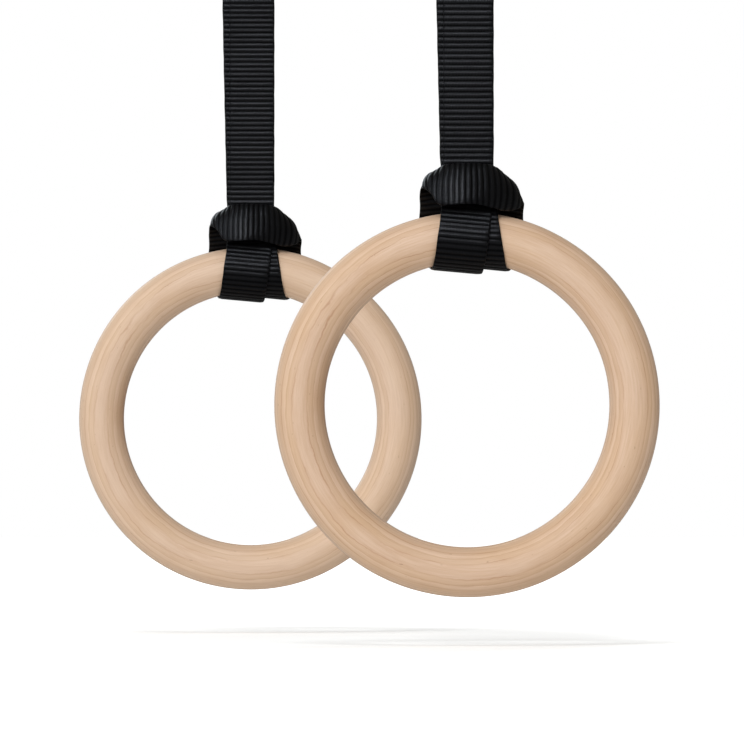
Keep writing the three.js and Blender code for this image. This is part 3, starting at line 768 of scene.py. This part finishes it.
def make_strap(side, seed):
    """All lengths of one strap. Those over a joint are baked in place and attached to no body; the others
    are attached to their body.
    """
    f_twist, f_bend, f_hitch = (station(z, FRONT_PLY) for z in (TWIST_TOP, BEND_TOP, LOW_CUT))
    b_hitch, b_bend, b_twist = (station(z, BACK_PLY) for z in (LOW_CUT, BEND_TOP, TWIST_TOP))
    b_low, b_high = (station(z, BACK_PLY) for z in (SWING_LOW, SWING_HIGH))
    f_high, f_low = (station(z, SEWN_PLY) for z in (SWING_HIGH, SWING_LOW))
    end = math.floor(PATH_S[-1] / RIB) * RIB
    hanger, lower, hitch = f"{side}_hanger", f"{side}_lower_strap", f"{side}_hitch"
    twist = (hanger, lower, TWIST_TOP - MARGIN, BEND_TOP + MARGIN)
    bend = (lower, hitch, BEND_HIGH, BEND_LOW)
    swing = (hanger, "hung_tops", SWING_LOW + MARGIN, SWING_HIGH - MARGIN)
    parts = [
        ("tail_webbing", 0.0, f_twist, hanger, ["strap_free_end"]),
        ("front_twist_webbing", f_twist, f_bend, twist, ["strap_lower_front"]),
        ("front_bend_webbing", f_bend, f_hitch, bend, []),
        ("hitch_webbing", f_hitch, b_hitch, hitch, ["strap_hitch"]),
        ("back_bend_webbing", b_hitch, b_bend, bend, []),
        ("back_twist_webbing", b_bend, b_twist, twist, ["strap_lower_back"]),
        ("back_webbing", b_twist, b_low, hanger, ["strap_back_run"]),
        ("back_swing_webbing", b_low, b_high, swing, []),
        ("bar_loop_webbing", b_high, f_high, "hung_tops", ["strap_top"]),
        ("front_swing_webbing", f_high, f_low, swing, []),
        ("sewn_webbing", f_low, end, hanger, ["strap_sewn_end"]),
    ]
    for name, start, stop, body, nodes in parts:
        verts, faces, uvs = webbing(start, stop, seed)
        obj = new_object(f"{side}_{name}", place(verts, side), faces, WEBBING, uvs=uvs)
        if isinstance(body, tuple):
            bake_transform(obj)
        else:
            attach(obj, body)
        if nodes:
            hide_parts(*[f"{side}_{n}" for n in nodes])


# ---------------------------------------------------------------- rings

# How far the ring is turned in the board it was cut from (radians), and how deep it lies in it.
# SANDED is how much thinner than nominal the hand-finished bar is on average
GRAIN_TURN = 2.8
GRAIN_SHIFT = 20.85
RING_STEPS = 288
BAR_STEPS = 96
SANDED = 0.06


def mark(obj, name, kind, key, values):
    """Store one value per corner point for a material to read."""
    layer = obj.data.attributes.new(name, kind, "POINT")
    layer.data.foreach_set(key, values.astype(np.float32).ravel())


def in_board(local):
    """Where the ring's points sat in the glued board."""
    c, s = math.cos(GRAIN_TURN), math.sin(GRAIN_TURN)
    x, y, z = local.T
    return np.stack([x * c - z * s, y + GRAIN_SHIFT, x * s + z * c], axis=1)


def make_ring(side):
    a = np.arange(RING_STEPS) * (2 * math.pi / RING_STEPS)
    b = np.arange(BAR_STEPS) * (2 * math.pi / BAR_STEPS)
    big, small = np.meshgrid(a, b, indexing="ij")
    hand = 0.05 * (np.sin(3 * big + 1.1) * np.cos(2 * small) + np.sin(7 * big + 0.4) * np.cos(small))
    r = BAR - SANDED + hand
    radius = RING_R + r * np.cos(small)
    local = np.stack([radius * np.sin(big), r * np.sin(small), radius * np.cos(big)], axis=2)
    local = local.reshape(-1, 3)
    number = np.arange(RING_STEPS * BAR_STEPS).reshape(RING_STEPS, BAR_STEPS)
    ahead = np.roll(number, -1, axis=0)
    corners = [number, ahead, np.roll(ahead, -1, axis=1), np.roll(number, -1, axis=1)]
    faces = np.stack(corners, axis=2).reshape(-1, 4).tolist()
    verts = local + np.array([0, 0, RING_OUT])
    obj = new_object(f"{side}_birch_ring", place(verts, side), faces, WOOD[side])
    mark(obj, "ring_mm", "FLOAT_VECTOR", "vector", in_board(local))
    # a darker streak on the inside of the grip at the left: partly heartwood, partly painted shade on the
    # inner edge that faces away from the lamps
    heart_and_shade = np.exp(-((big - 1.5 * math.pi) / 0.42) ** 2 - ((small - math.pi - 0.2) / 0.62) ** 2)
    mark(obj, "heartwood_and_shade", "FLOAT", "value", heart_and_shade)
    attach(obj, f"{side}_grip")
    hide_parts(f"{side}_ring")


# ---------------------------------------------------------------- buckle

RIVET_HEAD = 3.8
RIVET_FACE = 2.2
RIVET_THICK = 1.2


def rivet_profile(half):
    """(x, radius) of a pin with a domed rivet head at each end."""
    dome = RIVET_HEAD - RIVET_FACE
    shape = [(-half - RIVET_THICK, 0.0), (-half - RIVET_THICK, RIVET_FACE)]
    shape += [(-half - RIVET_THICK * math.cos(t) ** 0.8, RIVET_FACE + dome * math.sin(t))
              for t in np.linspace(0.25, 1.5, 6)]
    shape += [(-half, RIVET_HEAD - 0.02), (-half, PIN)]
    return shape + [(-x, r) for x, r in reversed(shape)]


def make_pins(side):
    for name, node, (y, z) in (("anchor_pin", "anchor_bar", ANCHOR), ("axle_pin", "cam_axle", AXLE)):
        verts, faces = lathe(rivet_profile(CHEEK_OUT + 0.3), 48)
        verts = verts + np.array([FRONT_X, y, BUCKLE + z])
        obj = new_object(f"{side}_{name}", place(verts, side), faces, ZINC)
        obj.data.set_sharp_from_angle(angle=math.radians(40))
        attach(obj, f"{side}_hanger")
        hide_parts(f"{side}_{node}")


def make_spring(side):
    """Torsion spring on the axle, with a leg down to the frame and one up to the cam."""
    turns, pitch, mean, wire = 3, 1.5, PIN + 1.6, 0.55
    t = np.linspace(0, 1, 150)
    angle = 2 * math.pi * turns * t - 0.2
    y0, z0 = AXLE[0], BUCKLE + AXLE[1]
    coil = np.stack([FRONT_X + CAM_RIGHT + 0.9 + turns * pitch * t, y0 + mean * np.cos(angle),
                     z0 + mean * np.sin(angle)], axis=1)
    first, last = coil[0], coil[-1]
    lead = [first + np.array([0, 0.1, -k]) for k in (5.0, 3.4, 1.8, 0.7)]
    trail = [last + np.array([0, 0.1, k]) for k in (0.7, 2.2, 4.4, 7.0)]
    verts, faces = tube(np.concatenate([lead, coil, trail]), wire, 12)
    obj = new_object(f"{side}_torsion_spring", place(verts, side), faces, SPRING)
    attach(obj, f"{side}_hanger")
    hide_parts(f"{side}_cam_spring")


def dress_cad(node, material, width):
    """Material and fine bevels for a CAD mesh that is shown as it is; width is in metres."""
    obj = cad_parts[node]
    obj.data.materials.clear()
    obj.data.materials.append(material)
    clean = obj.modifiers.new("dissolve", "DECIMATE")
    clean.decimate_type = "DISSOLVE"
    clean.angle_limit = math.radians(1.5)
    bevel = obj.modifiers.new("bevel", "BEVEL")
    bevel.width = width
    bevel.segments = 3
    bevel.limit_method = "ANGLE"
    bevel.angle_limit = math.radians(32)
    bevel.harden_normals = True


RIDGES = 5
RIDGE_FIRST = 6.0
RIDGE_PITCH = 2.6
RIDGE_R = 0.75
RIDGE_ENDS = (-13.5, 8.0)


def make_lever_ridges(side):
    """Raised bars pressed into the thumb lever."""
    base = np.array([AXLE[0], BUCKLE + AXLE[1]])
    p0, p1 = base + (-5.2, 3.0), base + (-8.4, 21.0)
    direction = (p1 - p0) / np.linalg.norm(p1 - p0)
    outward = np.array([-direction[1], direction[0]])
    rows, around = 9, 10
    verts, faces = [], []
    for k in range(RIDGES):
        middle = p0 + direction * (RIDGE_FIRST + RIDGE_PITCH * k)
        start = len(verts)
        for x in np.linspace(*RIDGE_ENDS, rows):
            end = 1 - max(0.0, abs(x + 2.75) - 9.6) / 1.15
            size = math.sqrt(max(end, 0.0)) * RIDGE_R
            for a in np.linspace(0, 2 * math.pi, around, endpoint=False):
                y, z = middle + direction * math.cos(a) * size + outward * (math.sin(a) * size * 0.8)
                verts.append((FRONT_X + x, y, z))
        bar_faces = tube_faces(rows, around)
        faces += [tuple(i + start for i in face) for face in bar_faces]
    obj = new_object(f"{side}_lever_ridges", place(verts, side), faces, COATED)
    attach(obj, f"{side}_cam")


STITCH = 2.9
THREAD_R = 0.36


def make_stitches(side):
    """Box-X of lock stitches on the sewn overlap."""
    low, high, half = BUCKLE + ANCHOR[1] + 20, BUCKLE + ANCHOR[1] + 46, 12.0
    y = SEWN_Y - PLY / 2
    corners = [(-half, low), (half, low), (half, high), (-half, high), (-half, low), (half, high)]
    lines = list(zip(corners[:-1], corners[1:])) + [((-half, high), (half, low))]
    verts, faces = [], []
    for (x0, z0), (x1, z1) in lines:
        length = math.hypot(x1 - x0, z1 - z0)
        count = int(length / STITCH)
        ux, uz = (x1 - x0) / length, (z1 - z0) / length
        for k in range(count):
            s0 = (k + 0.12) * length / count
            s1 = (k + 0.88) * length / count
            t = np.linspace(0, 1, 7)
            along = s0 + (s1 - s0) * t
            points = np.stack([FRONT_X + x0 + ux * along, y - 0.42 * np.sin(math.pi * t) + 0.12,
                               z0 + uz * along], axis=1)
            v, f = tube(points, THREAD_R, 8)
            faces += [tuple(i + len(verts) for i in face) for face in f]
            verts += v.tolist()
    obj = new_object(f"{side}_stitching", place(verts, side), faces, THREAD)
    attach(obj, f"{side}_hanger")
    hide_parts(f"{side}_box_stitch")


# ---------------------------------------------------------------- both sides

for number, side in enumerate(SIDES):
    make_ring(side)
    make_strap(side, 11 + 20 * number)
    make_pins(side)
    make_spring(side)
    dress_cad(f"{side}_buckle_frame", COATED, 0.0003)
    dress_cad(f"{side}_cam_lever", COATED, 0.00022)
    make_lever_ridges(side)
    make_stitches(side)


# ---------------------------------------------------------------- stage, light, camera

# Lengths in this section are in metres, a lens in millimetres and a tilt in degrees
WHITE = (1, 1, 1, 1)
FLOOR_Z = -0.031
FLOOR_HALF = 40
MIDDLE = (0.0, 0.0, 0.25)
WORLD_DIFFUSE = 0.28
WORLD_GLOSSY = 0.10
CAMERA_PLACE = (0.0132, -HALF_DEPTH * MM - 3.806, 0.044)
CAMERA_LENS = 291.1
CAMERA_UP = 1.4995


def floor_material():
    """Pale paper with painted light and shade; reflections see it darker, as a floor that is not lit all
    over would be.
    """
    m = Nodes("pale_floor")
    spot = m.node("ShaderNodeTexCoord").outputs["Object"]
    soft = m.noise(spot, 3.0, 3.0)
    colour = m.mix(soft, (0.78, 0.78, 0.78, 1), (0.81, 0.81, 0.81, 1))
    # painted light and shade: to the camera the paper glows white away from the rings and less near them, a
    # painted soft shadow round the rings
    away = m.node("ShaderNodeVectorMath", {0: m.vmath("MULTIPLY", spot, (1.3, 0.5, 1.0))},
                  operation="LENGTH").outputs["Value"]
    ray = m.node("ShaderNodeLightPath").outputs
    painted_glow = m.math("MULTIPLY", m.smooth(away, 0.2, 0.46, 0.36, 1.0), ray["Is Camera Ray"])
    # the floor also glows a little to diffuse rays, throwing light up onto the rings from below
    painted_glow = m.math("MULTIPLY_ADD", ray["Is Diffuse Ray"], 0.18, painted_glow)
    # painted shade in reflections: the floor is darker where other surfaces reflect it
    colour = m.mix(ray["Is Glossy Ray"], colour, (0.25, 0.25, 0.25, 1))
    return m.finish({"Base Color": colour, "Roughness": 0.9, "Specular IOR Level": 0.0,
                     "Emission Color": WHITE, "Emission Strength": painted_glow})


def make_floor():
    corners = [(x * FLOOR_HALF, y * FLOOR_HALF, FLOOR_Z) for x, y in ((-1, -1), (1, -1), (1, 1), (-1, 1))]
    new_object("floor", corners, [(0, 1, 2, 3)], floor_material(), smooth=False)


def area(name, azimuth, height, distance, size, power, colour=(1, 1, 1)):
    """Soft box aimed at the middle. Azimuth 0 is the camera's side and negative its left."""
    a, h = math.radians(azimuth), math.radians(height)
    spot = Vector((distance * math.sin(a) * math.cos(h), -distance * math.cos(a) * math.cos(h),
                   MIDDLE[2] + distance * math.sin(h)))
    lamp = bpy.data.lights.new(name, "AREA")
    lamp.shape = "RECTANGLE"
    lamp.size, lamp.size_y = size
    lamp.energy = power
    lamp.color = colour
    obj = bpy.data.objects.new(name, lamp)
    obj.location = spot
    obj.rotation_euler = (Vector(MIDDLE) - spot).to_track_quat("-Z", "Y").to_euler()
    bpy.context.scene.collection.objects.link(obj)
    return obj


def make_lights():
    area("key_softbox", -23, 23, 12.0, (4.6, 2.6), 520)
    area("left_softbox", -70, 24, 10.0, (4.2, 4.2), 155, (0.86, 0.94, 1.0))
    area("top_strip", -8, 46, 10.0, (2.6, 1.2), 280, (0.95, 0.98, 1.0))
    overhead = area("overhead", 0, 88, 2.6, (0.9, 0.9), 9, (0.88, 0.95, 1.0))
    overhead.visible_glossy = False
    area("back_fill", -150, 24, 9.0, (4.0, 4.0), 150, (0.84, 0.93, 1.0))


def make_world():
    """White to the camera, a dim warm room to the object and dimmer still in its reflections."""
    world = bpy.data.worlds.new("studio")
    bpy.context.scene.world = world
    world.use_nodes = True
    tree = world.node_tree
    tree.nodes.clear()
    out = tree.nodes.new("ShaderNodeOutputWorld")
    mix = tree.nodes.new("ShaderNodeMixShader")
    ray = tree.nodes.new("ShaderNodeLightPath")
    lit = tree.nodes.new("ShaderNodeBackground")
    seen = tree.nodes.new("ShaderNodeBackground")
    dim = tree.nodes.new("ShaderNodeMath")
    dim.operation = "MULTIPLY_ADD"
    dim.inputs[1].default_value = WORLD_GLOSSY - WORLD_DIFFUSE
    dim.inputs[2].default_value = WORLD_DIFFUSE
    lit.inputs[0].default_value = (1.0, 0.93, 0.83, 1)
    seen.inputs[0].default_value = WHITE
    seen.inputs[1].default_value = 1.0
    tree.links.new(ray.outputs["Is Glossy Ray"], dim.inputs[0])
    tree.links.new(dim.outputs[0], lit.inputs[1])
    tree.links.new(ray.outputs["Is Camera Ray"], mix.inputs[0])
    tree.links.new(lit.outputs[0], mix.inputs[1])
    tree.links.new(seen.outputs[0], mix.inputs[2])
    tree.links.new(mix.outputs[0], out.inputs[0])


def make_camera():
    camera = bpy.data.cameras.new("camera")
    camera.sensor_width = 36
    camera.lens = CAMERA_LENS
    camera.clip_end = 100
    obj = bpy.data.objects.new("camera", camera)
    obj.location = CAMERA_PLACE
    obj.rotation_euler = (math.radians(90 + CAMERA_UP), 0, 0)
    bpy.context.scene.collection.objects.link(obj)
    bpy.context.scene.camera = obj
    bpy.context.scene.view_settings.view_transform = "Standard"


make_floor()
make_lights()
make_world()
make_camera()
